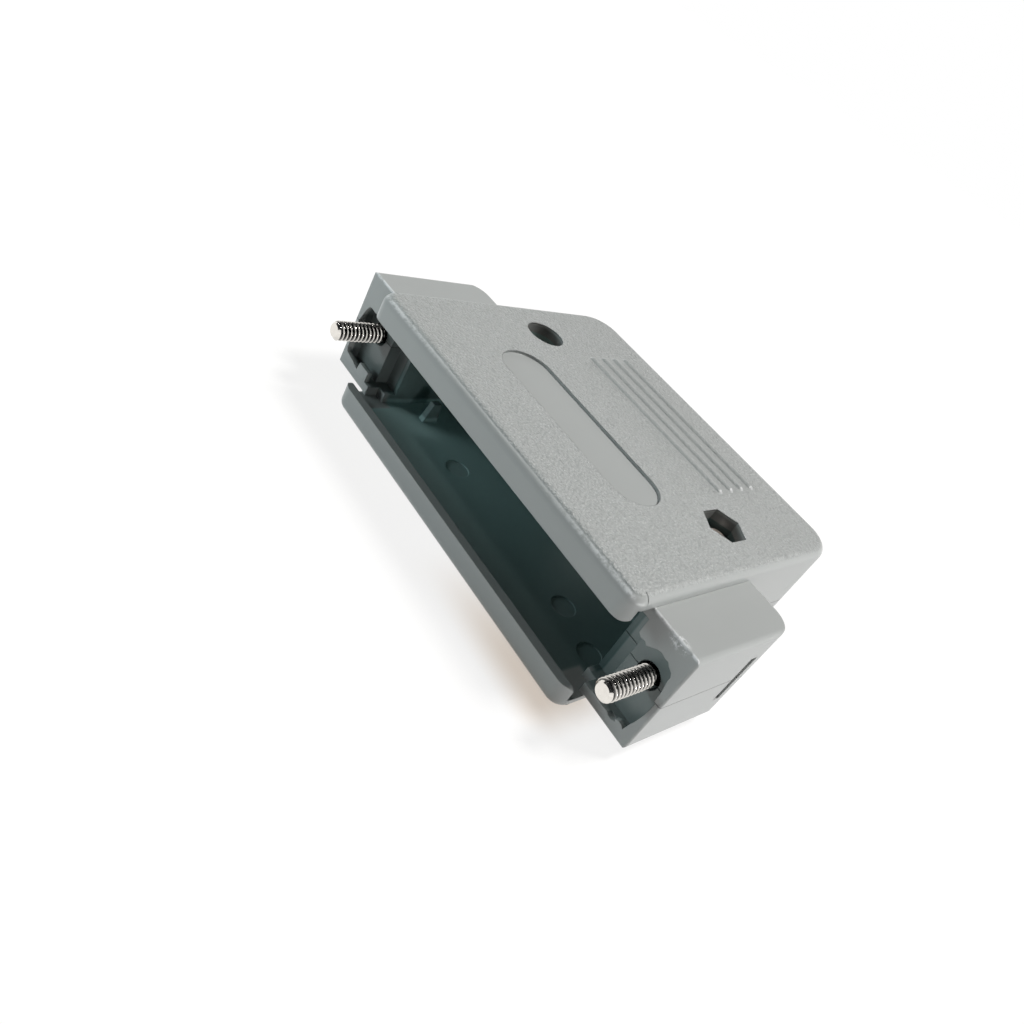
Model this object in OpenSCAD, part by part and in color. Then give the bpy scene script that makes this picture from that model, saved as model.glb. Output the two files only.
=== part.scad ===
// Two-part plastic hood for a 37-way trapezoidal cable connector, shown
// closed on its screws, with captive jackscrews in the ears and a cable clamp
// inside. Width runs along X, the mating mouth faces -Y, the cable leaves
// along +Y, and the part lies on its lower half with Z up.
// Both halves are the same moulding: the lower one is turned about Y.

/* [Body] */
// Body width at the mouth
body_w = 56.4; // [56:0.1:57]
// How much narrower the body is at the cable end, each side
body_taper = 0.6; // [0:0.1:0.8]
// Depth from the lips' front face to the rear wall
body_d = 45.1; // [44.1:0.5:48.1]
// Thickness of the closed hood between its two flat faces
body_t = 19.2; // [18.8:0.1:20]
// Thickness of the two broad walls
skin = 1.8; // [1.5:0.1:2]
// Thickness of the side and rear walls
wall = 2.0; // [1.6:0.1:2.2]
// Radius of the long front edge of each lip
lip_round = 1.4; // [0.8:0.1:1.6]
// Radius of each lip's lower end corners seen from the front
lip_corner = 1.0; // [0.6:0.1:1.6]
// Radius of the other edges round the broad faces
edge_round = 1.2; // [0.6:0.1:1.2]
// Radius of the rear corners seen from above
rear_corner = 4.6; // [3.5:0.1:6]
// Radius of the lips' front corners seen from above
front_corner = 2.2; // [1.8:0.1:2.4]

/* [Mouth] */
// Height of the mouth between the two lips
mouth_h = 11.6; // [11:0.1:11.8]
// Thickness of the ridge behind each lip's front face
ridge = 1.4; // [1.2:0.1:1.8]
// How far the lips stand in front of the ears
lip_reach = 4.1; // [3.6:0.1:4.4]
// Width of the opening between the two flange seats
seat_gap = 57.0; // [56.8:0.1:57.4]
// Width of the slot for the connector's flange
flange_w = 69.5; // [69.4:0.1:69.6]
// Height of the slot for the connector's flange
flange_h = 12.7; // [12.6:0.1:13]
// Thickness of the thin frame in front of the flange slot
frame_t = 0.8; // [0.7:0.1:1]
// Distance from the ear's front face to the flange seat
seat_back = 2.0; // [1.8:0.1:2.2]
// Thickness of the seat wall
seat_t = 2.0; // [1.6:0.1:2.2]

/* [Ears] */
// Overall width across both ears
ear_span = 71.6; // [71.4:0.1:72.4]
// Height of the ears
ear_h = 15.6; // [15.2:0.1:16]
// Length of the ears along the depth
ear_d = 19.5; // [18.8:0.1:20]
// Radius of the ears' outer rear corners seen from above
ear_corner = 3.2; // [2:0.1:3.6]
// Radius of the ears' long outer edges
ear_round = 0.7; // [0.4:0.1:0.9]
// Radius of the small edges round the ears' front faces
ear_edge = 0.3; // [0.2:0.1:0.4]
// Distance between the two jackscrews
screw_pitch = 63.5; // [63.4:0.05:63.6]
// Diameter of the hole in each flange seat
seat_hole = 3.45; // [3.3:0.05:3.6]
// Height of the slit in each ear's end face
slit_h = 8.0; // [7.2:0.1:8.4]
// Width of the slit in each ear's end face
slit_w = 1.2; // [1:0.1:1.3]
// Distance from the ear's front face to the slit
slit_back = 14.2; // [13.8:0.1:14.6]

/* [Jackscrews] */
// Thread diameter of the jackscrews
thread_d = 2.84; // [2.8:0.02:2.9]
// How far each thread stands in front of the lips
tip_out = 1.8; // [1.5:0.1:2.5]
// Length of the threaded part, which ends just before the seat
thread_l = 7.8; // [7:0.1:7.8]
// Diameter of the smooth neck
neck_d = 2.3; // [2.1:0.1:2.4]
// Diameter of the long head
head_d = 5.64; // [5.6:0.02:5.66]
// Diameter of the collar that holds the screw in its ear
collar_d = 6.8; // [6.4:0.1:6.9]
// How far the head stands behind the ear
head_out = 2.0; // [1:0.1:2.4]
// Width of the driver slot
slot_w = 1.0; // [0.8:0.1:1.2]
// Depth of the driver slot
slot_d = 1.4; // [1:0.1:1.6]

/* [Fixings] */
// Sideways distance of each closing screw from the middle
fix_x = 20.3; // [20:0.1:20.8]
// Distance of the closing screws from the lips' front face
fix_y = 25.3; // [24.8:0.1:26]
// Diameter of the round counterbore
counterbore_d = 5.9; // [5.7:0.1:6]
// Depth of the round counterbore
counterbore_h = 5.5; // [5:0.1:5.8]
// Width across the flats of the nut pocket
pocket_af = 5.6; // [5.56:0.02:5.7]
// Depth of the nut pocket
pocket_h = 4.7; // [4.4:0.1:5]
// Clearance hole through the bosses
fix_hole = 3.4; // [3.3:0.1:3.6]
// Outside diameter of the bosses
boss_d = 9.2; // [8.8:0.1:9.6]
// Diameter of the closing and clamp screws
m_d = 3.0; // [2.9:0.05:3]
// Width across the flats of the nuts
nut_af = 5.5; // [5.4:0.05:5.5]
// Thickness of the nuts
nut_h = 2.4; // [2.2:0.1:2.4]
// Length of the closing screws under the head
fix_len = 12.0; // [11.6:0.1:12.4]

/* [Face marks] */
// Length of the shallow label recess
label_l = 31.1; // [28.1:0.5:34.1]
// Width of the label recess
label_w = 8.2; // [7.2:0.5:9.2]
// Depth of the label recess
label_h = 0.4; // [0.2:0.05:0.5]
// Distance of the label recess from the lips' front face
label_y = 15.0; // [14.5:0.1:16]
// Number of grip ribs on each broad face
rib_n = 4; // [3:1:4]
// Distance between neighbouring grip ribs
rib_pitch = 2.6; // [2.3:0.1:2.7]
// Length of the grip ribs
rib_l = 29.8; // [26:0.2:32]
// Width of each grip rib
rib_w = 1.1; // [0.8:0.1:1.3]
// Height of each grip rib
rib_h = 0.3; // [0.2:0.05:0.4]
// Distance of the first grip rib from the lips' front face
rib_y = 31.0; // [30.5:0.1:31.5]

/* [Cable end] */
// Diameter of the cable outlet
outlet_d = 12.6; // [11.6:0.2:13]
// Sideways distance of the clamp screws from the middle
clamp_x = 9.0; // [8.8:0.1:9.4]
// Distance of the clamp from the lips' front face
clamp_y = 38.2; // [37.6:0.1:38.6]
// Width of each clamp bar along the cable
clamp_w = 5.0; // [4.4:0.2:5.4]
// Thickness of each clamp bar
clamp_t = 1.5; // [1.2:0.1:1.6]
// Gap between the two clamp bars at their ends
clamp_gap = 4.4; // [4:0.2:5]
// Inside radius of the saddle in each clamp bar
saddle_r = 5.4; // [5:0.1:5.6]
// Overall length of each clamp bar
clamp_l = 27.0; // [26.4:0.2:27.4]

/* [Hidden] */
$fn = 64;
plastic = [0.50, 0.51, 0.51];
steel = [0.78, 0.77, 0.74];
hw = body_w / 2;              // half the body's width at the mouth
hr = hw - body_taper;         // half its width at the rear
ht = body_t / 2;              // half its thickness
he = ear_h / 2;
ex = ear_span / 2;
ear_y = lip_reach;            // ears' front face
ear_end = ear_y + ear_d;      // ears' rear face
seat_y = ear_y + seat_back;   // flange seat
sx = screw_pitch / 2;
iw = hr - wall;               // half the cavity's width
floor_z = ht - skin;
slit_y = ear_y + slit_back;
cav_r = 2.6;                  // cavity's rear corners
bbox_y = (body_d - tip_out) / 2;

// A cylinder of radius r from y0 to y1 along Y.
module y_rod(r, y0, y1) {
    translate([0, y0, 0]) rotate([-90, 0, 0]) cylinder(r = r, h = y1 - y0);
}

// A box given by its two corners.
module span(a, b) {
    translate(a) cube([b[0] - a[0], b[1] - a[1], b[2] - a[2]]);
}

// What is left of a square of side r when a quarter disc is taken out.
module corner_bite(r) {
    difference() {
        square([r + 1, r + 1]);
        circle(r = r);
    }
}

// The body's outline from above.
module body_plan() {
    difference() {
        polygon([[-hw, 0], [hw, 0], [hr, body_d], [-hr, body_d]]);
        for (m = [0, 1]) mirror([m, 0]) {
            translate([hr - rear_corner, body_d - rear_corner]) corner_bite(rear_corner);
            translate([hw - front_corner, front_corner]) mirror([0, 1]) corner_bite(front_corner);
        }
    }
}

// Outside of half the body: outline, with its long edges rounded.
module body_outside() {
    difference() {
        linear_extrude(ht) body_plan();
        // front edge of the lip
        translate([-hw - 2, lip_round, ht - lip_round]) rotate([90, 0, 90])
            linear_extrude(body_w + 4) mirror([1, 0]) corner_bite(lip_round);
        // rear edge
        translate([-hw - 2, body_d - edge_round, ht - edge_round]) rotate([90, 0, 90])
            linear_extrude(body_w + 4) corner_bite(edge_round);
        // side edges follow the taper
        for (m = [0, 1]) mirror([m, 0, 0])
            translate([hw - edge_round, 0, ht - edge_round]) rotate([0, 0, atan(body_taper / body_d)])
                translate([0, body_d + 2, 0]) rotate([90, 0, 0])
                    linear_extrude(body_d + 4) corner_bite(edge_round);
        // the rounding carries on round the corners
        for (m = [0, 1]) mirror([m, 0, 0]) {
            translate([hr - rear_corner, body_d - rear_corner, 0]) rotate_extrude(angle = 90)
                translate([rear_corner - edge_round, ht - edge_round]) corner_bite(edge_round);
            translate([hw - front_corner, front_corner, 0]) rotate([0, 0, -90]) rotate_extrude(angle = 90)
                translate([front_corner - lip_round, ht - lip_round]) corner_bite(lip_round);
        }
    }
}

// Outside of half an ear on the +X side.
module ear_outside() {
    difference() {
        intersection() {
            translate([0, ear_y, 0]) linear_extrude(he) difference() {
                translate([hr - 0.6, 0]) square([ex - hr + 0.6, ear_d]);
                translate([ex - ear_corner, ear_d - ear_corner]) corner_bite(ear_corner);
                translate([ex - ear_edge, ear_edge]) mirror([0, 1]) corner_bite(ear_edge);
            }
            translate([0, ear_end + 1, 0]) rotate([90, 0, 0]) linear_extrude(ear_d + 2) difference() {
                square([ex, he]);
                translate([ex - ear_round, he - ear_round]) corner_bite(ear_round);
            }
        }
        translate([hr - 1, ear_y + ear_edge, he - ear_edge]) rotate([90, 0, 90])
            linear_extrude(ex) mirror([1, 0]) corner_bite(ear_edge);
    }
}

// The ragged edge of each opening in the thin frames, where the moulded web
// was broken out: points from the mouth outwards, as [x, height].
ragged_a = [[28.4, 4.3], [29.0, 3.95], [29.7, 4.1], [30.1, 3.8], [30.8, 4.3], [31.3, 4.65], [31.9, 4.85], [32.6, 4.7],
            [33.1, 4.75], [33.5, 4.4], [34.1, 4.15], [34.4, 3.7], [34.4, 3.1], [34.7, 1.6], [34.8, 0]];
ragged_b = [[28.0, 6.2], [30.8, 6.3], [31.5, 6.3], [32.0, 6.5], [32.4, 6.5], [33.0, 6.25], [32.8, 5.95], [33.3, 5.7],
            [33.8, 5.75], [34.2, 6.0], [34.4, 4.85], [34.7, 3.8], [35.0, 2.1], [35.1, 0]];
ragged_c = [[28.0, 3.3], [31.6, 3.2], [32.2, 3.1], [33.1, 3.2], [33.8, 3.0], [34.4, 1.85], [34.8, 0.3], [35.0, 0]];
ragged_d = [[28.0, 4.75], [30.1, 4.8], [31.0, 4.75], [31.2, 6.1], [32.6, 5.75], [34.0, 5.5], [34.7, 5.4], [35.0, 4.9],
            [35.0, 0]];

// Everything that is hollow in half an ear; ragged is the frame's edge.
module ear_inside(ragged) {
    // opening in the thin frame
    translate([0, ear_y + frame_t + 0.1, 0]) rotate([90, 0, 0]) linear_extrude(frame_t + 1)
        polygon(concat([[27, -1], [27, ragged[0][1]]], ragged, [[ragged[len(ragged) - 1][0], -1]]));
    // slot for the flange
    span([20, ear_y + frame_t, -1], [flange_w / 2, seat_y, flange_h / 2]);
    // hole for the thread, chamber for the head and hole at the rear
    translate([sx, 0, 0]) {
        y_rod(seat_hole / 2, seat_y - 1, seat_y + seat_t + 1);
        y_rod(3.1, seat_y + seat_t, slit_y + 0.2);
        y_rod(2.9, slit_y + slit_w - 0.2, ear_end + 1);
    }
    // slit for the collar, open at the ear's end face
    span([sx - collar_d / 2 - 0.1, slit_y, -1], [ex + 1, slit_y + slit_w, slit_h / 2]);
}

// Hollow of half the body.
module body_inside() {
    // gap behind the lip's ridge, open at both ends
    span([-ex - 1, ridge, -1], [ex + 1, ear_y, floor_z]);
    span([-ex - 1, -1, -1], [ex + 1, ridge + 0.5, mouth_h / 2]);
    for (m = [0, 1]) mirror([m, 0, 0]) translate([hw - lip_corner, ridge + 0.1, mouth_h / 2 + lip_corner])
        rotate([90, 0, 0]) linear_extrude(ridge + 1) mirror([0, 1]) corner_bite(lip_corner);
    // between the flange seats
    span([-seat_gap / 2, ear_y - 0.5, -1], [seat_gap / 2, seat_y + seat_t, flange_h / 2]);
    span([-hw + 0.9, ear_y - 0.5, -1], [hw - 0.9, seat_y, floor_z]);
    // the room for wires
    translate([0, 0, -1]) linear_extrude(floor_z + 1) difference() {
        translate([-iw, ear_y]) square([2 * iw, body_d - wall - ear_y]);
        for (m = [0, 1]) mirror([m, 0])
            translate([iw - cav_r, body_d - wall - cav_r]) corner_bite(cav_r);
    }
    // half of the cable outlet
    y_rod(outlet_d / 2, body_d - wall - 1, body_d + 1);
}

// A seat that holds one end of a clamp bar.
module cradle() {
    x0 = clamp_l / 2 - 1.4;
    z0 = clamp_gap / 2 + clamp_t;
    difference() {
        span([x0, clamp_y - clamp_w / 2 - 1.1, 0.6], [x0 + 2.4, clamp_y + clamp_w / 2 + 1.1, floor_z + 0.5]);
        span([x0 - 1, clamp_y - clamp_w / 2 - 0.05, -1], [clamp_l / 2 + 0.05, clamp_y + clamp_w / 2 + 0.05, z0]);
    }
}

// A short upright blade on the inside, behind one end of the connector.
module blade() {
    translate([21.5, 12.2, 0]) rotate([90, 0, 90]) translate([0, 0, -0.5]) linear_extrude(1)
        polygon([[-1.4, floor_z + 0.5], [1.6, floor_z + 0.5], [0.9, floor_z - 3.2], [-0.5, floor_z - 3.2]]);
}

// A low half-round grip rib with ball ends, most of it sunk into the face.
module grip_rib() {
    r = (rib_w * rib_w / 4 + rib_h * rib_h) / (2 * rib_h);
    e = (rib_l - rib_w) / 2;
    translate([0, 0, ht + rib_h - r]) {
        translate([-e, 0, 0]) rotate([0, 90, 0]) cylinder(r = r, h = 2 * e);
        for (s = [-1, 1]) translate([s * e, 0, 0]) sphere(r = r);
    }
}

// One half of the hood. a and b are the ragged edges of the frame on the +X
// and on the -X side.
module half_shell(a, b) {
    difference() {
        union() {
            difference() {
                union() {
                    body_outside();
                    for (m = [0, 1]) mirror([m, 0, 0]) ear_outside();
                }
                body_inside();
                ear_inside(a);
                mirror([1, 0, 0]) ear_inside(b);
            }
            // bosses, blades and clamp seats stand on the broad wall
            for (s = [-1, 1]) translate([s * fix_x, fix_y, 0]) cylinder(d = boss_d, h = floor_z + 0.5);
            blade();
            for (m = [0, 1]) mirror([m, 0, 0]) {
                cradle();
                // web that ties the boss to the side wall
                span([fix_x, fix_y - 0.7, 0], [iw + 0.5, fix_y + 0.7, floor_z + 0.5]);
            }
            for (i = [0 : rib_n - 1]) translate([0, rib_y + i * rib_pitch, 0]) grip_rib();
        }
        // closing screw on the -X side, its nut on the +X side
        for (s = [-1, 1]) translate([s * fix_x, fix_y, -1]) cylinder(d = fix_hole, h = ht + 2);
        translate([-fix_x, fix_y, ht - counterbore_h]) cylinder(d = counterbore_d, h = ht);
        translate([fix_x, fix_y, ht - pocket_h]) rotate([0, 0, 30])
            cylinder(d = pocket_af / cos(30), h = ht, $fn = 6);
        // shallow label recess
        translate([0, label_y, ht - label_h]) linear_extrude(2) {
            square([label_l - label_w, label_w], center = true);
            for (s = [-1, 1]) translate([s * (label_l - label_w) / 2, 0]) circle(d = label_w);
        }
        // marks left by the ejector pins
        for (p = [[10.7, 10.9], [-15.7, 11.2], [-23.2, 9.6], [-1.5, 33.0]])
            translate([p[0], p[1], floor_z - 1]) cylinder(d = 3.6, h = 1.15);
    }
}

// A jackscrew along Y with its tip at the mouth: thread, neck, collar, head.
module jackscrew() {
    y_tip = -tip_out;
    y_neck = y_tip + thread_l;
    y_head = seat_y + seat_t + 2.95;
    y_end = ear_end + head_out;
    difference() {
        rotate([-90, 0, 0]) rotate_extrude() rotate(0)
            polygon([[0, y_tip], [thread_d / 2 - 0.4, y_tip], [thread_d / 2, y_tip + 0.4],
                     [thread_d / 2, y_neck], [neck_d / 2, y_neck + 0.3], [neck_d / 2, y_head],
                     [head_d / 2 - 0.3, y_head], [head_d / 2, y_head + 0.3],
                     [head_d / 2, slit_y + 0.12], [collar_d / 2, slit_y + 0.12],
                     [collar_d / 2, slit_y + slit_w - 0.12], [head_d / 2, slit_y + slit_w - 0.12],
                     [head_d / 2, y_end - 0.3], [head_d / 2 - 0.3, y_end], [0, y_end]]);
        span([-slot_w / 2, y_end - slot_d, -head_d], [slot_w / 2, y_end + 1, head_d]);
    }
}

// A pan-head screw pointing down, the seat of its head at z = 0.
module pan_screw(len, dd, hd, hh) {
    difference() {
        rotate_extrude() polygon([[0, -len], [dd / 2 - 0.3, -len], [dd / 2, -len + 0.3], [dd / 2, 0],
                                  [hd / 2, 0], [hd / 2, hh * 0.6], [hd / 2 - 0.55, hh], [0, hh]]);
        for (a = [0, 90]) rotate([0, 0, a]) translate([-1.5, -0.4, hh - 1.3]) cube([3, 0.8, 2]);
    }
}

// A hexagon nut standing on z = 0, its corners towards +Y and -Y.
module hex_nut() {
    difference() {
        intersection() {
            rotate([0, 0, 30]) cylinder(d = nut_af / cos(30), h = nut_h, $fn = 6);
            rotate_extrude() polygon([[0, 0], [nut_af / 2 + 0.05, 0], [nut_af / 2 + 0.5, 0.3],
                                      [nut_af / 2 + 0.5, nut_h - 0.3], [nut_af / 2 + 0.05, nut_h], [0, nut_h]]);
        }
        translate([0, 0, -1]) cylinder(d = m_d + 0.04, h = nut_h + 2);
    }
}

// The upper clamp bar: a flat strip with a raised saddle for the cable.
module clamp_bar() {
    z0 = clamp_gap / 2;
    cz = z0 - 2.2;                     // centre of the saddle's arc
    ro = saddle_r + clamp_t;
    difference() {
        translate([0, clamp_y + clamp_w / 2, 0]) rotate([90, 0, 0]) linear_extrude(clamp_w) difference() {
            union() {
                translate([-clamp_l / 2, z0]) square([clamp_l, clamp_t]);
                intersection() {
                    translate([0, cz]) circle(r = ro);
                    translate([-ro - 1, z0]) square([2 * ro + 2, ro + 2]);
                }
            }
            translate([0, cz]) circle(r = saddle_r);
        }
        for (s = [-1, 1]) translate([s * clamp_x, clamp_y, z0 - 1]) cylinder(d = m_d + 0.4, h = clamp_t + 2);
    }
}

// Puts a piece from the hood's own middle planes to its place in the part.
module placed() {
    translate([0, -bbox_y, ht + rib_h]) children();
}

module upper_shell() {
    color(plastic) placed() half_shell(ragged_a, ragged_c);
}
module lower_shell() {
    color(plastic) placed() rotate([0, 180, 0]) half_shell(ragged_d, ragged_b);
}
module jackscrew_at(s) {
    color(steel) placed() translate([s * sx, 0, 0]) jackscrew();
}
module closing_screw() {
    translate([-fix_x, fix_y, ht - counterbore_h]) pan_screw(fix_len, m_d, 5.5, 2.3);
}
module closing_nut() {
    translate([fix_x, fix_y, ht - pocket_h]) hex_nut();
}
module clamp_screw(s) {
    color(steel) placed() translate([s * clamp_x, clamp_y, clamp_gap / 2 + clamp_t]) pan_screw(10, m_d, 5.2, 2.0);
}
module clamp_nut(s) {
    color(steel) placed() translate([s * clamp_x, clamp_y, -clamp_gap / 2 - clamp_t - nut_h]) hex_nut();
}

upper_shell();
lower_shell();
jackscrew_at(-1);  // jackscrew_left
jackscrew_at(1);  // jackscrew_right
color(steel) placed() closing_screw();  // closing_screw_left
color(steel) placed() rotate([0, 180, 0]) closing_screw();  // closing_screw_right
color(steel) placed() rotate([0, 180, 0]) closing_nut();  // closing_nut_left
color(steel) placed() closing_nut();  // closing_nut_right
color(steel) placed() clamp_bar();  // clamp_bar_upper
color(steel) placed() rotate([0, 180, 0]) clamp_bar();  // clamp_bar_lower
clamp_screw(-1);  // clamp_screw_left
clamp_screw(1);  // clamp_screw_right
clamp_nut(-1);  // clamp_nut_left
clamp_nut(1);  // clamp_nut_right
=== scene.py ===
"""Looks of a grey plastic connector hood: moulded halves, plated jackscrews, screws and stage."""

import math

import bmesh
import bpy
import numpy as np
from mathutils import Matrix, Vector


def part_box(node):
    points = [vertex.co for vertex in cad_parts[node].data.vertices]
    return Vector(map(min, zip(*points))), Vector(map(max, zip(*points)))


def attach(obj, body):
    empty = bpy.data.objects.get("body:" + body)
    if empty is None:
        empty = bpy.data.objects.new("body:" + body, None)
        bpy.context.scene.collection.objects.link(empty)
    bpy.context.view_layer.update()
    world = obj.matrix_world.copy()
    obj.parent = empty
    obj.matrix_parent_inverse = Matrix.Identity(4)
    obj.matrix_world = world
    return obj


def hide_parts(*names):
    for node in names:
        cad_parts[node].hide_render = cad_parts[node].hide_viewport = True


bl_info = {
    "name": "Connector hood finish",
    "version": (1, 0, 0),
    "blender": (4, 5, 0),
    "location": "View3D > Sidebar > Hood",
    "description": "Finishes a packed connector hood and sets it on a pale studio floor",
    "category": "Object",
}

MM = 0.001
CREASE = math.radians(35.0)     # edges of the modelled pieces sharper than this stay sharp
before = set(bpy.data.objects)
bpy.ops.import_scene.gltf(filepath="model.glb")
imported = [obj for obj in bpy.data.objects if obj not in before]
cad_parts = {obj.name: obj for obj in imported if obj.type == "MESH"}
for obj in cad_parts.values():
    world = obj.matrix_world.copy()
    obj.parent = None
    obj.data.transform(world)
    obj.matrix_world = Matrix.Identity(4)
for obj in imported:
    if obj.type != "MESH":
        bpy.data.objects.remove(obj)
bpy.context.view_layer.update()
SHELL_LOW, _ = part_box("upper_shell")
SCREW_LOW, SCREW_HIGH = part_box("jackscrew_right")
NUT_LOW, NUT_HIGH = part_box("closing_nut_right")
MOUTH_Y = SHELL_LOW[1]          # front faces of the lips
PART_Z = SHELL_LOW[2]           # plane where the halves meet
SCREW_X = 0.5 * (SCREW_LOW[0] + SCREW_HIGH[0])
SCREW_Z = 0.5 * (SCREW_LOW[2] + SCREW_HIGH[2])

PLASTIC_NODES = ("upper_shell", "lower_shell")
CLOSING_NODES = ("closing_screw_left", "closing_screw_right")
STEEL_NODES = ("closing_nut_left", "closing_nut_right", "clamp_screw_left", "clamp_screw_right",
               "clamp_nut_left", "clamp_nut_right")
BAR_NODES = ("clamp_bar_upper", "clamp_bar_lower")

# Places on the mouldings in millimetres, for the plastic: x from the middle, y back from the lips' front
# faces, and height up or down from the plane where the halves meet.
FACE = 9.6                                          # height of the broad faces
LIP_ROUND = 0.41                                    # lips' front rounding: its y and depth under the face
EAR_X, EAR_Y, EAR_TOP = 28.4, 4.1, 7.75             # start and place of the ears' front top edges
BRUISE_X, BRUISE_H = 32.7, 7.4                      # the whitened spot on the +X ear's edge
LABEL_Y, LABEL_HALF, LABEL_R = 15.0, 11.45, 4.1     # label recess: middle, half straight part, end radius
RIB_Y, RIB_PITCH, RIB_COUNT, RIB_TIP = 31.0, 2.6, 4, 14.75  # grip ribs: first, pitch, count, x of the ends
RIB_AREA = (15.3, 4.7)                              # half the grip area's width and depth
ROOM_X, ROOM_Y, ROOM_H = 26.4, 43.4, 8.0            # wiring room: end walls, rear wall, broad walls
ROOM_FRONT = (24.3, 1.9, 6.9)                       # its front: half width, and y where it starts and widens
FLANGE_X, FLANGE_H = (26.25, 34.9), 6.475           # flange slot: from and to, and half its height
FIX_X = 0.5 * (NUT_LOW[0] + NUT_HIGH[0]) / MM       # closing screws
FIX_Y = (0.5 * (NUT_LOW[1] + NUT_HIGH[1]) - MOUTH_Y) / MM
POCKET_R = 3.315                                    # radius round a nut's pocket or a screw's counterbore

# Jackscrews in metres: radii and places along Y
CREST, NECK, HEAD = 1.42 * MM, 1.15 * MM, 2.82 * MM
COLLAR = 0.5 * (SCREW_HIGH[0] - SCREW_LOW[0])
TIP_FLAT = 0.98 * MM            # radius where the tip's chamfer starts
TIP_Y, END_Y = SCREW_LOW[1], SCREW_HIGH[1]
THREAD_LENGTH = 7.8 * MM
HEAD_Y = MOUTH_Y + 11.05 * MM
COLLAR_FROM, COLLAR_TO = MOUTH_Y + 18.42 * MM, MOUTH_Y + 19.38 * MM
HEAD_BEVEL, COLLAR_BEVEL = 0.3 * MM, 0.1 * MM
KNURLS, KNURL_DEPTH = 36.0, 0.07 * MM
SLOT_HALF, SLOT_DEPTH = 0.5 * MM, 1.4 * MM

FIX_PITCH = 0.5 * MM            # thread pitch of the closing and clamp screws

# Sizes of the finishes' patterns in metres
GRAIN_DEPTH, EDGE_SAMPLES = 0.24 * MM, 4
FINE, CLOUD, FLAKE = 0.12 * MM, 9.0 * MM, 0.5 * MM   # plastic: fine texture, slow variation, whitened flakes
BLOTCH, BRUSHED, PLATING_DEPTH = 0.8 * MM, 0.08 * MM, 0.03 * MM     # metal: blotches, fine texture, relief
FIX_THREAD_DEEP = 8.0           # strength of the closing and clamp screws' thread against the blotches

# Stage in metres
FLOOR_REACH = 1.5
CARD_REACH, CARD_Z = 1.9, 0.9
AIM_Z = 0.010                   # height that every lamp looks at
LAMPS = (                       # name, place, width, height, colour and whether metal mirrors it
    ("key", (0.14, 0.26, 0.66), 0.16, 0.16, (1.0, 0.99, 0.975), True),
    ("side", (0.36, 0.02, 0.013), 0.30, 0.016, (1.0, 0.995, 0.99), True),
    ("front", (-0.16, -0.16, 0.045), 0.10, 0.05, (0.82, 0.97, 1.0), False),
    ("glint", (-0.34, -0.26, 0.46), 0.05, 0.05, (1.0, 1.0, 1.0), True),
)


# ---------------------------------------------------------------- shader maths

class Wire:
    """An output in a node tree. Sums, products and the like of wires add Math nodes."""

    def __init__(self, tree, socket):
        self.tree = tree
        self.socket = socket

    def node(self, kind, settings=None, sockets=None, out=0):
        """Adds a node of that kind, sets its settings, fills its sockets and returns one output."""
        made = self.tree.nodes.new(kind)
        for name, value in (settings or {}).items():
            setattr(made, name, value)
        for key, value in (sockets or {}).items():
            if isinstance(value, Wire):
                self.tree.links.new(value.socket, made.inputs[key])
            else:
                made.inputs[key].default_value = value
        return Wire(self.tree, made.outputs[out])

    def math(self, operation, *terms):
        return self.node("ShaderNodeMath", {"operation": operation}, dict(enumerate(terms)))

    def __add__(self, other):
        return self.math("ADD", self, other)

    __radd__ = __add__

    def __sub__(self, other):
        return self.math("SUBTRACT", self, other)

    def __rsub__(self, other):
        return self.math("SUBTRACT", other, self)

    def __mul__(self, other):
        return self.math("MULTIPLY", self, other)

    __rmul__ = __mul__

    def __truediv__(self, other):
        return self.math("DIVIDE", self, other)

    def __pow__(self, other):
        return self.math("POWER", self, other)

    def __abs__(self):
        return self.math("ABSOLUTE", self)

    def most(self, other):
        return self.math("MAXIMUM", self, other)

    def rise(self, low, high):
        """0 below low, 1 above high, smooth between; low may be the larger."""
        return self.node("ShaderNodeMapRange", {"interpolation_type": "SMOOTHSTEP"},
                         {"Value": self, "From Min": low, "From Max": high, "To Min": 0.0, "To Max": 1.0})

    def above(self, limit, soft):
        """1 above the limit and 0 below it, smooth over soft on either side."""
        return self.rise(limit - soft, limit + soft)

    def below(self, limit, soft):
        """1 below the limit and 0 above it, smooth over soft on either side."""
        return self.rise(limit + soft, limit - soft)

    def from_middle(self, pitch):
        """Signed distance from the middle of the lane that the wire is in; lanes are one pitch wide."""
        return (self.math("FRACT", self * (1.0 / pitch)) - 0.5) * pitch

    def blend(self, first, second):
        """The colour first where this wire is 0 and second where it is 1."""
        return self.node("ShaderNodeMix", {"data_type": "RGBA"}, {0: self, 6: first, 7: second}, out=2)

    def split(self):
        """Three wires: the vector's X, Y and Z."""
        made = self.node("ShaderNodeSeparateXYZ", None, {0: self})
        return [Wire(self.tree, part) for part in made.socket.node.outputs]


def apart(*offsets):
    """Distance from the point or line that these wires are the offsets from."""
    squares = [offset ** 2.0 for offset in offsets]
    return sum(squares[1:], squares[0]) ** 0.5


def fresh_material(name):
    """A new material with one Principled shader; returns it, the shader node and the place in metres."""
    material = bpy.data.materials.new(name)
    material.use_nodes = True
    tree = material.node_tree
    shader = tree.nodes["Principled BSDF"]
    place = Wire(tree, tree.nodes.new("ShaderNodeTexCoord").outputs["Object"])
    return material, shader, place


def feed(place, shader, **sockets):
    """Fills the shader's sockets; names use _ for a space."""
    for name, value in sockets.items():
        target = shader.inputs[name.replace("_", " ")]
        if isinstance(value, Wire):
            place.tree.links.new(value.socket, target)
        else:
            target.default_value = value


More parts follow.
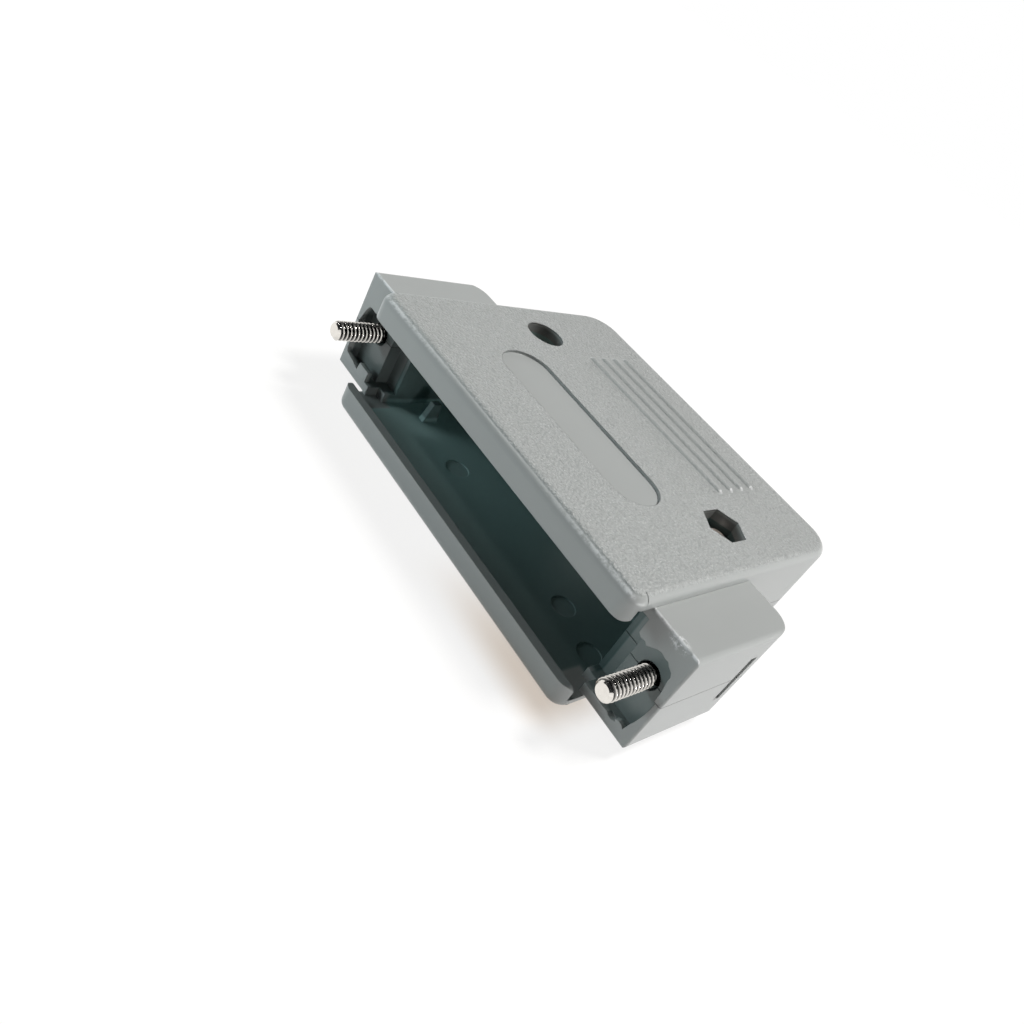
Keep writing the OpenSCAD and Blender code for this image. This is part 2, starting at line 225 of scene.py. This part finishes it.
def tinted(place, colour, red, green, blue):
    """The colour with its three parts multiplied by three wires."""
    factors = place.node("ShaderNodeCombineXYZ", None, {0: red, 1: green, 2: blue})
    return place.node("ShaderNodeMix", {"data_type": "RGBA", "blend_type": "MULTIPLY"},
                      {0: 1.0, 6: (*colour, 1.0), 7: factors}, out=2)


def speckle(place, size, detail=2.0, rough=0.5):
    """Soft noise with features of about that size in metres, from 0 to 1."""
    return place.node("ShaderNodeTexNoise", None,
                      {"Vector": place, "Scale": 1.0 / size, "Detail": detail, "Roughness": rough})


def pebbles(place, size):
    """Distance to the nearest of many scattered points, for an eroded moulding grain."""
    return place.node("ShaderNodeTexVoronoi", {"feature": "SMOOTH_F1"},
                      {"Vector": place, "Scale": 1.0 / size, "Smoothness": 0.6})


# ---------------------------------------------------------------- materials

def whitening_and_painted_highlights(place, x, y, height, level, ribs):
    """Pale marks: a bruise and painted edge highlights on the ears, painted lip highlights and the grip
    ribs' ends.

    Each fades out within a fraction of a millimetre, and all but the ribs' ends are broken up by noise.
    """
    behind = y - EAR_Y
    bruise = ((x - BRUISE_X) ** 2.0 * 0.35 + behind ** 2.0 + (level - BRUISE_H) ** 2.0) ** 0.5
    bruise = bruise.rise(1.15, 0.2) * speckle(place, FLAKE, 3.0, 0.7).rise(0.47, 0.60)
    # painted highlight along both ears' front top edges
    worn = apart(behind, level - EAR_TOP).rise(0.36, 0.08) * abs(x).above(EAR_X, 0.4)
    worn = worn * speckle(place, 1.8 * FLAKE, 2.0, 0.5).rise(0.22, 0.50)
    # painted highlight along the lips' front rounding, stronger towards their ends
    painted_lip_highlight = apart(y - LIP_ROUND, height - (FACE - LIP_ROUND)).rise(0.50, 0.12) * abs(x).rise(4.0, 27.0)
    painted_lip_highlight = painted_lip_highlight * speckle(place, FLAKE, 3.0, 0.7).rise(0.30, 0.62)
    lane = (y - (RIB_Y - 0.5 * RIB_PITCH)).from_middle(RIB_PITCH)
    tips = apart(abs(x) - RIB_TIP, lane).rise(0.40, 0.12) * ribs * height.rise(FACE - 0.1, FACE)
    return bruise.most(worn * 0.85).most(painted_lip_highlight * 0.55).most(tips * 0.5)


def moulded_plastic(looks):
    """Grey moulded plastic: eroded grain on the broad faces, smooth recess, joint line, pale marks, painted
    highlights and painted shade.
    """
    material, shader, place = fresh_material("moulded_plastic")
    x, y, z = (part / MM for part in place.split())
    y = y - MOUTH_Y / MM
    level = z - PART_Z / MM
    height = abs(level)
    # the broad faces were eroded, less the label recess, and the grip area less deeply
    broad = height.rise(FACE - 0.3, FACE - 0.05)
    label = apart((abs(x) - LABEL_HALF).most(0.0), y - LABEL_Y).below(LABEL_R, 0.05)
    rib_middle = RIB_Y + 0.5 * (RIB_COUNT - 1) * RIB_PITCH
    ribs = abs(x).below(RIB_AREA[0], 0.3) * abs(y - rib_middle).below(RIB_AREA[1], 0.3)
    grainy = broad * (1.0 - label) * (1.0 - 0.55 * ribs)
    grain = 0.6 * pebbles(place, looks.grain_size) + 0.5 * speckle(place, looks.grain_size * 0.6, 3.0, 0.6)
    # pale specks painted into the grain's colour as glints
    painted_glints = grainy * speckle(place, looks.grain_size * 0.8, 2.0, 0.7).rise(0.57, 0.68)
    fine = speckle(place, FINE, 3.0, 0.6)
    cloud = speckle(place, CLOUD, 2.0, 0.5)
    joint = height.below(0.06, 0.03)
    # where shade is painted: the wiring room behind the ridge and the seats, the flange's seats, and the
    # nuts' and screws' pockets
    front_half, front_y, wide_y = ROOM_FRONT
    narrow = abs(x).below(front_half, 0.3) * y.above(front_y, 0.7)
    shaded_room = narrow.most(abs(x).below(ROOM_X, 0.2) * y.above(wide_y, 0.5))
    shaded_room = shaded_room * height.below(ROOM_H, 0.1) * y.below(ROOM_Y, 0.2)
    shaded_seat = abs(x).above(FLANGE_X[0], 0.15) * abs(x).below(FLANGE_X[1], 0.1) * height.below(FLANGE_H, 0.125)
    shaded_seat = shaded_seat * y.above(EAR_Y + 0.5, 0.3) * y.below(EAR_Y + 4.4, 0.5)
    shaded_pocket = apart(abs(x) - FIX_X, y - FIX_Y).below(POCKET_R, 0.035) * height.below(FACE - 0.4, 0.2)
    # painted shade: all three are darker, the seats more on the -X side; the room's floors are painted
    # lighter than its walls, and the room darker towards +X
    flats, eastward = height.rise(6.8, 7.4), x.rise(-22.0, 24.0)
    tone = (1.0 + (cloud - 0.5) * 0.05) * (1.0 - grainy * (grain - 0.45) * 0.50) * (1.0 - 0.5 * joint)
    tone = tone * (1.0 - 0.40 * shaded_pocket) * (1.0 - shaded_seat * (0.36 + 0.24 * x.rise(5.0, -5.0)))
    tone = tone * (1.0 + shaded_room * (flats * (0.85 - 0.65 * eastward) - 0.50 - 0.15 * eastward))
    # painted shade: the broad faces darker towards the rear
    tone = tone * (1.0 - 0.08 * broad * y.rise(12.0, 44.0)) + 0.30 * painted_glints
    # the painted shade in the room and the seats has less red, a blue-green tint
    body = tinted(place, looks.plastic, tone * (1.0 - 0.27 * shaded_room - 0.10 * shaded_seat), tone, tone)
    colour = whitening_and_painted_highlights(place, x, y, height, level, ribs).blend(body, (*looks.whitening_and_painted_highlights, 1.0))
    relief = grainy * grain + fine * 0.02 - joint * 0.2
    soft = place.node("ShaderNodeBevel", {"samples": EDGE_SAMPLES}, {"Radius": looks.edge_soft})
    bumped = place.node("ShaderNodeBump", None,
                        {"Strength": 0.9, "Distance": GRAIN_DEPTH, "Height": relief, "Normal": soft})
    feed(place, shader, Base_Color=colour, Normal=bumped,
         Roughness=looks.plastic_rough + grainy * 0.06 + (fine - 0.5) * 0.06)
    shader.inputs["Specular IOR Level"].default_value = 0.45
    return material


def plated_metal(name, colour, rough, uneven, thread_pitch=None, dark_roots=False):
    """Blotched plated metal. A pitch adds a thread along Z as relief; dark_roots paints oil and shade into a
    modelled one.
    """
    material, shader, place = fresh_material(name)
    east, north, up = place.split()
    blotch = speckle(place, BLOTCH, 4.0, 0.6)
    fine = speckle(place, BRUSHED, 2.0, 0.5)
    tone = 0.88 + blotch * 0.2
    plated = tinted(place, colour, tone, tone, tone)
    relief = fine * 0.1 + blotch * uneven
    if dark_roots:
        # oil and painted shade in the thread's roots, by distance in millimetres from the screw's own axis
        radius = apart(abs(east) - SCREW_X, up - SCREW_Z) / MM
        deep = radius.rise(CREST / MM - 0.01, CREST / MM - 0.22) * ((north - TIP_Y) / MM).rise(0.3, 0.45)
        plated = (deep * 0.92).blend(plated, (0.02, 0.02, 0.022, 1.0))
    if thread_pitch is not None:
        relief = relief + abs(up.from_middle(thread_pitch)) * (FIX_THREAD_DEEP / thread_pitch)
    bumped = place.node("ShaderNodeBump", None,
                        {"Strength": 0.5, "Distance": PLATING_DEPTH, "Height": relief})
    feed(place, shader, Base_Color=plated, Metallic=1.0, Normal=bumped,
         Roughness=rough + (blotch - 0.5) * 0.12)
    return material


def first_hits(wire):
    """1 for what the camera sees straight, mirrored or through something clear; 0 for the light itself."""
    rays = wire.node("ShaderNodeLightPath").socket.node.outputs
    seen = Wire(wire.tree, rays["Is Camera Ray"]).most(Wire(wire.tree, rays["Is Glossy Ray"]))
    return seen.most(Wire(wire.tree, rays["Is Transmission Ray"]))


def floor_material():
    """A pale matt floor that keeps the shadow, lifted to white where the camera sees or metal mirrors it."""
    material, shader, place = fresh_material("pale_floor")
    seen = first_hits(place)
    east, north, _ = place.split()
    far = apart(east, north).rise(0.08, 0.18)
    # painted shadow, deeper and warmer, close in front of the lower lip on its +X half
    beside = (abs(east) - 0.026).most(0.0)
    ahead = (MOUTH_Y - north).most(0.0)
    painted_contact_shadow = apart(beside, ahead).rise(0.006, 0.0) * north.rise(MOUTH_Y + 0.010, MOUTH_Y + 0.005)
    painted_contact_shadow = painted_contact_shadow * east.rise(0.0, 0.022)
    grey, warm = (0.55, 0.55, 0.55, 1.0), (0.60, 0.44, 0.33, 1.0)
    feed(place, shader, Roughness=0.8, Base_Color=painted_contact_shadow.blend(grey, warm))
    shader.inputs["Specular IOR Level"].default_value = 0.0
    tint = painted_contact_shadow.blend((1.0, 0.995, 0.99, 1.0), (1.0, 0.91, 0.82, 1.0))
    glow = place.node("ShaderNodeEmission", None, {"Color": tint, "Strength": 1.22})
    share = seen * (0.70 + 0.30 * far - 0.26 * painted_contact_shadow)
    matt = Wire(place.tree, shader.outputs[0])
    mixed = place.node("ShaderNodeMixShader", None, {0: share, 1: matt, 2: glow})
    place.tree.links.new(mixed.socket, place.tree.nodes["Material Output"].inputs["Surface"])
    return material


# ---------------------------------------------------------------- shapes

def grid_faces(rows, columns):
    """Quads between neighbouring rows and columns of a grid whose columns close on themselves."""
    row = np.arange(rows - 1)[:, None]
    column = np.arange(columns)[None, :]
    here = row * columns + column
    beside = row * columns + (column + 1) % columns
    return np.stack([here, beside, beside + columns, here + columns], axis=-1).reshape(-1, 4)


def surface_object(name, points, faces):
    """A mesh of points and quads: doubles merged, normals outwards, edges beyond the crease angle sharp."""
    mesh = bpy.data.meshes.new(name)
    mesh.vertices.add(len(points))
    mesh.vertices.foreach_set("co", np.asarray(points, dtype=np.float64).ravel())
    mesh.loops.add(faces.size)
    mesh.loops.foreach_set("vertex_index", faces.ravel().astype(np.int32))
    mesh.polygons.add(len(faces))
    mesh.polygons.foreach_set("loop_start", (np.arange(len(faces)) * faces.shape[1]).astype(np.int32))
    mesh.update(calc_edges=True)
    work = bmesh.new()
    work.from_mesh(mesh)
    bmesh.ops.remove_doubles(work, verts=work.verts, dist=1e-7)
    bmesh.ops.dissolve_degenerate(work, edges=work.edges, dist=1e-8)
    bmesh.ops.recalc_face_normals(work, faces=work.faces)
    work.to_mesh(mesh)
    work.free()
    mesh.shade_smooth()
    mesh.set_sharp_from_angle(angle=CREASE)
    thing = bpy.data.objects.new(name, mesh)
    bpy.context.collection.objects.link(thing)
    return thing


def flat_square(name, reach, height):
    """A flat square about the origin, from -reach to reach, at that height."""
    across, deep = np.meshgrid([-reach, reach], [-reach, reach])
    corners = np.stack([across, deep, np.full_like(across, height)], axis=-1).reshape(-1, 3)
    return surface_object(name, corners, np.array([[0, 1, 3, 2]]))


def thread_radius(along, angle, pitch, depth):
    """Helical thread: the crest less a trapezium wave of the phase, which is along / pitch plus turns."""
    steep, flat = 1.32, 0.16
    phase = np.mod(along / pitch + angle / (2.0 * math.pi), 1.0)
    wave = np.clip(np.abs(phase - 0.5) * 2.0 * steep - flat, 0.0, 1.0)
    return CREST - depth * wave


def jackscrew_profile(rows):
    """Rows of (place along Y, radius) from tip to end: thread, neck, long head and the collar round it."""
    thread_end = TIP_Y + THREAD_LENGTH
    profile = [(TIP_Y, 0.0), (TIP_Y, 0.45 * MM), (TIP_Y, 0.9 * MM)]
    profile += [(along, CREST) for along in np.linspace(TIP_Y, thread_end, rows)]
    profile += [(thread_end + 0.3 * MM, NECK), (HEAD_Y, NECK)]
    profile += [(HEAD_Y, HEAD - HEAD_BEVEL), (HEAD_Y + HEAD_BEVEL, HEAD)]
    profile += [(along, HEAD) for along in np.linspace(HEAD_Y + 0.6 * MM, COLLAR_FROM - 0.02 * MM, 12)]
    rim = COLLAR - COLLAR_BEVEL
    profile += [(COLLAR_FROM, HEAD), (COLLAR_FROM, rim), (COLLAR_FROM + COLLAR_BEVEL, COLLAR)]
    profile += [(COLLAR_TO - COLLAR_BEVEL, COLLAR), (COLLAR_TO, rim), (COLLAR_TO, HEAD)]
    profile += [(along, HEAD) for along in np.linspace(COLLAR_TO + 0.05 * MM, END_Y - HEAD_BEVEL, 10)]
    profile += [(END_Y, HEAD - HEAD_BEVEL), (END_Y, HEAD * 0.5), (END_Y, 0.0)]
    return np.array(profile)


def jackscrew_points(sizes):
    """Points of a whole jackscrew about the Y axis, as (radius * cos angle, along, radius * sin angle).

    The radius is the profile's. On the thread it is cut to the helical wave, to a cone at the tip and to
    a cone at the neck; on the head it dips by a cosine of KNURLS times the angle.
    """
    profile = jackscrew_profile(int(THREAD_LENGTH / sizes.thread_pitch * sizes.rows_per_turn))
    turn = np.linspace(0.0, 2.0 * math.pi, sizes.columns, endpoint=False)
    along, angle = np.meshgrid(profile[:, 0], turn, indexing="ij")
    radius = np.repeat(profile[:, 1:], sizes.columns, axis=1)
    thread_end = TIP_Y + THREAD_LENGTH
    thread = thread_radius(along, angle, sizes.thread_pitch, sizes.thread_depth)
    chamfer = TIP_FLAT + (along - TIP_Y)
    runout = np.maximum(NECK + (thread_end - along) * 1.6, NECK)
    cut = np.minimum(np.minimum(thread, chamfer), runout)
    on_thread = (np.abs(radius - CREST) < 1e-9) & (along <= thread_end + 1e-9)
    radius = np.where(on_thread, cut, radius)
    knurled = radius - KNURL_DEPTH * (0.5 - 0.5 * np.cos(KNURLS * angle))
    radius = np.where(np.abs(radius - HEAD) < 1e-9, knurled, radius)
    return np.stack([radius * np.cos(angle), along, radius * np.sin(angle)], axis=-1)


def cut_slot(thing, centre):
    """Cuts a driver slot across the end of a head, as the difference with a thin block."""
    across, beyond = 5.0 * MM, 1.0 * MM
    low = centre + np.array([-SLOT_HALF, END_Y - SLOT_DEPTH, -across])
    high = centre + np.array([SLOT_HALF, END_Y + beyond, across])
    pick = np.array([[i & 1, (i >> 1) & 1, (i >> 2) & 1] for i in range(8)])
    quads = np.array([[0, 2, 3, 1], [4, 5, 7, 6], [0, 1, 5, 4], [2, 6, 7, 3], [0, 4, 6, 2], [1, 3, 7, 5]])
    cutter = surface_object("cutter", low + pick * (high - low), quads)
    step = thing.modifiers.new("slot", "BOOLEAN")
    step.operation = "DIFFERENCE"
    step.solver = "EXACT"
    step.object = cutter
    bpy.context.view_layer.update()
    evaluated = thing.evaluated_get(bpy.context.evaluated_depsgraph_get())
    mesh = bpy.data.meshes.new_from_object(evaluated)
    thing.modifiers.clear()
    thing.data = mesh
    mesh.set_sharp_from_angle(angle=CREASE)
    bpy.data.objects.remove(cutter)


def dress(nodes, material):
    """Gives every material slot of these CAD nodes the material."""
    for node in nodes:
        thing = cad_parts[node]
        if not thing.material_slots:
            thing.data.materials.append(material)
        for place in thing.material_slots:
            place.material = material


# ---------------------------------------------------------------- stage

def white_world(scene):
    """White where the camera sees the sky or metal mirrors it, and a dim cool fill for everything else."""
    world = bpy.data.worlds.new("studio")
    scene.world = world
    world.use_nodes = True
    tree = world.node_tree
    dim = tree.nodes["Background"]
    dim.inputs["Color"].default_value = (0.75, 0.90, 1.0, 1.0)
    dim.inputs["Strength"].default_value = 0.07
    fill = Wire(tree, dim.outputs[0])
    white = fill.node("ShaderNodeBackground", None, {"Color": (1.0, 1.0, 1.0, 1.0), "Strength": 1.0})
    mixed = fill.node("ShaderNodeMixShader", None, {0: first_hits(fill), 1: fill, 2: white})
    tree.links.new(mixed.socket, tree.nodes["World Output"].inputs["Surface"])


def hang_card():
    """A dark card overhead, above the lamps, so that polished metal has something dark to mirror."""
    card = flat_square("card", CARD_REACH, CARD_Z)
    card.visible_camera = False
    material, shader, place = fresh_material("dark_card")
    feed(place, shader, Base_Color=(0.02, 0.022, 0.025, 1.0), Roughness=0.9)
    card.data.materials.append(material)


def area_lamp(name, at, width, height, colour, mirrored, power):
    """A soft lamp, width by height, that looks at the middle of the part."""
    lamp = bpy.data.lights.new(name, "AREA")
    lamp.shape = "RECTANGLE"
    lamp.size, lamp.size_y = width, height
    lamp.energy = power
    lamp.color = colour
    thing = bpy.data.objects.new(name, lamp)
    x, y, z = at[0], at[1], at[2] - AIM_Z
    thing.location = at
    thing.rotation_euler = (math.atan2(math.hypot(x, y), z), 0.0, math.atan2(y, x) + math.pi / 2.0)
    thing.visible_glossy = mirrored
    bpy.context.collection.objects.link(thing)


def set_camera(scene, stage):
    """The camera, at its place and turn."""
    camera = bpy.data.cameras.new("camera")
    camera.lens = stage.focal
    camera.sensor_width = 36.0
    camera.clip_start = 0.005
    stand = bpy.data.objects.new("camera", camera)
    stand.location = stage.camera_at
    stand.rotation_euler = stage.camera_turn
    bpy.context.collection.objects.link(stand)
    scene.camera = stand


# ---------------------------------------------------------------- settings

class HoodLooks(bpy.types.PropertyGroup):
    """Colours and finishes of the hood."""

    plastic: bpy.props.FloatVectorProperty(
        name="Plastic", description="Base colour of the moulded halves", subtype="COLOR",
        default=(0.386, 0.400, 0.393), min=0.0, max=1.0)
    # colour of the bruise's whitening and of the painted highlights on the ears' edges and the lips
    whitening_and_painted_highlights: bpy.props.FloatVectorProperty(
        name="Whitened plastic", description="Colour of the bruised and rubbed spots", subtype="COLOR",
        default=(0.86, 0.87, 0.88), min=0.0, max=1.0)
    plating: bpy.props.FloatVectorProperty(
        name="Plating", description="Colour of the jackscrews' bright plating", subtype="COLOR",
        default=(0.80, 0.77, 0.72), min=0.0, max=1.0)
    steel: bpy.props.FloatVectorProperty(
        name="Steel", description="Colour of the nuts, the clamp screws and the clamp", subtype="COLOR",
        default=(0.62, 0.61, 0.59), min=0.0, max=1.0)
    worn_steel: bpy.props.FloatVectorProperty(
        name="Worn steel", description="Colour of the closing screws", subtype="COLOR",
        default=(0.66, 0.58, 0.52), min=0.0, max=1.0)
    plastic_rough: bpy.props.FloatProperty(
        name="Plastic roughness", description="Roughness of the moulded halves away from the grain",
        default=0.30, min=0.0, max=1.0, subtype="FACTOR")
    plating_rough: bpy.props.FloatProperty(
        name="Plating roughness", description="Roughness of the jackscrews' bright plating",
        default=0.13, min=0.0, max=1.0, subtype="FACTOR")
    grain_size: bpy.props.FloatProperty(
        name="Grain size", description="Size of the eroded grain on the broad faces",
        default=0.36 * MM, unit="LENGTH", precision=5)
    edge_soft: bpy.props.FloatProperty(
        name="Edge softness", description="Radius of the softening on moulded edges",
        default=0.18 * MM, unit="LENGTH", precision=5)


class HoodSizes(bpy.types.PropertyGroup):
    """Sizes of the modelled pieces."""

    thread_pitch: bpy.props.FloatProperty(
        name="Thread pitch", description="Distance between the turns of the jackscrews' thread",
        default=0.635 * MM, unit="LENGTH", precision=5)
    thread_depth: bpy.props.FloatProperty(
        name="Thread depth", description="Depth of the jackscrews' thread",
        default=0.36 * MM, unit="LENGTH", precision=5)
    rows_per_turn: bpy.props.IntProperty(
        name="Rows per turn", description="Rows of points on each turn of the thread",
        default=18, min=8, max=40)
    columns: bpy.props.IntProperty(
        name="Columns", description="Points round each screw", default=72, min=24, max=144)


class StageLooks(bpy.types.PropertyGroup):
    """Camera and lamps."""

    camera_at: bpy.props.FloatVectorProperty(
        name="Camera place", description="Where the camera stands", subtype="TRANSLATION",
        default=(0.0563998, -0.0908771, 0.0680048))
    camera_turn: bpy.props.FloatVectorProperty(
        name="Camera turn", description="Turn of the camera about X, Y and Z", subtype="EULER",
        default=(math.radians(52.74894), math.radians(-26.18723), math.radians(53.04634)))
    focal: bpy.props.FloatProperty(
        name="Focal length", description="Focal length in millimetres on a 36 mm sensor", default=30.2584)
    key_power: bpy.props.FloatProperty(
        name="Key lamp", description="Power of the soft lamp above and behind",
        default=5.4, unit="POWER")
    side_power: bpy.props.FloatProperty(
        name="Side lamp", description="Power of the low strip lamp on the +X side",
        default=0.62, unit="POWER")
    front_power: bpy.props.FloatProperty(
        name="Front lamp", description="Power of the low lamp in front of the mouth",
        default=0.18, unit="POWER")
    glint_power: bpy.props.FloatProperty(
        name="Glint lamp", description="Power of the small lamp that draws highlights on edges and threads",
        default=0.28, unit="POWER")


# ---------------------------------------------------------------- operators

class HOOD_OT_shells(bpy.types.Operator):
    """Gives the two moulded halves their grained grey plastic"""

    bl_idname = "hood.shells"
    bl_label = "Moulded halves"

    def execute(self, context):
        dress(PLASTIC_NODES, moulded_plastic(context.scene.hood_looks))
        return {"FINISHED"}


class HOOD_OT_jackscrews(bpy.types.Operator):
    """Builds both jackscrews with their helical threads, knurled heads and slots"""

    bl_idname = "hood.jackscrews"
    bl_label = "Jackscrews"

    def execute(self, context):
        looks = context.scene.hood_looks
        bright = plated_metal("bright_plating", looks.plating, looks.plating_rough, 0.6, dark_roots=True)
        points = jackscrew_points(context.scene.hood_sizes)
        faces = grid_faces(points.shape[0], points.shape[1])
        for side, x in (("left", -SCREW_X), ("right", SCREW_X)):
            centre = np.array([x, 0.0, SCREW_Z])
            thing = surface_object(f"jackscrew_{side}_plated", points.reshape(-1, 3) + centre, faces)
            cut_slot(thing, centre)
            thing.data.materials.clear()
            thing.data.materials.append(bright)
            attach(thing, f"screw_{side}")
            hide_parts(f"jackscrew_{side}")
        return {"FINISHED"}


class HOOD_OT_fixings(bpy.types.Operator):
    """Gives the closing screws, nuts and the cable clamp their plated steel"""

    bl_idname = "hood.fixings"
    bl_label = "Screws, nuts and clamp"

    def execute(self, context):
        looks = context.scene.hood_looks
        zinc = plated_metal("zinc_plated_steel", looks.steel, rough=0.22, uneven=2.5, thread_pitch=FIX_PITCH)
        worn = plated_metal("worn_steel", looks.worn_steel, rough=0.36, uneven=7.0, thread_pitch=FIX_PITCH)
        dress(STEEL_NODES, zinc)
        dress(CLOSING_NODES, worn)
        dress(BAR_NODES, plated_metal("pressed_steel", looks.steel, rough=0.36, uneven=0.2))
        return {"FINISHED"}


class HOOD_OT_stage(bpy.types.Operator):
    """Lays the pale floor, hangs the soft lamps and sets the camera"""

    bl_idname = "hood.stage"
    bl_label = "Floor, lamps and camera"

    def execute(self, context):
        stage = context.scene.hood_stage
        floor = flat_square("floor", FLOOR_REACH, 0.0)
        floor.data.materials.append(floor_material())
        white_world(context.scene)
        for lamp in LAMPS:
            area_lamp(*lamp, power=getattr(stage, lamp[0] + "_power"))
        hang_card()
        set_camera(context.scene, stage)
        return {"FINISHED"}


STEPS = (HOOD_OT_shells, HOOD_OT_jackscrews, HOOD_OT_fixings, HOOD_OT_stage)
GROUPS = (("hood_looks", HoodLooks), ("hood_sizes", HoodSizes), ("hood_stage", StageLooks))


class HOOD_PT_panel(bpy.types.Panel):
    """Lists the hood's steps and settings in the 3D view's sidebar"""

    bl_idname = "HOOD_PT_panel"
    bl_label = "Connector hood"
    bl_space_type = "VIEW_3D"
    bl_region_type = "UI"
    bl_category = "Hood"

    def draw(self, context):
        for group, settings in GROUPS:
            column = self.layout.column(align=True)
            for name in settings.__annotations__:
                column.prop(getattr(context.scene, group), name)
        for step in STEPS:
            self.layout.operator(step.bl_idname)


def register():
    for name, group in GROUPS:
        bpy.utils.register_class(group)
        setattr(bpy.types.Scene, name, bpy.props.PointerProperty(type=group))
    for step in STEPS:
        bpy.utils.register_class(step)
    bpy.utils.register_class(HOOD_PT_panel)


def unregister():
    bpy.utils.unregister_class(HOOD_PT_panel)
    for step in reversed(STEPS):
        bpy.utils.unregister_class(step)
    for name, group in reversed(GROUPS):
        delattr(bpy.types.Scene, name)
        bpy.utils.unregister_class(group)


def main():
    register()
    scene = bpy.context.scene
    scene.view_settings.view_transform = "Standard"
    bpy.ops.hood.shells()
    bpy.ops.hood.jackscrews()
    bpy.ops.hood.fixings()
    bpy.ops.hood.stage()
    bpy.context.view_layer.update()


if __name__ == "__main__":
    main()
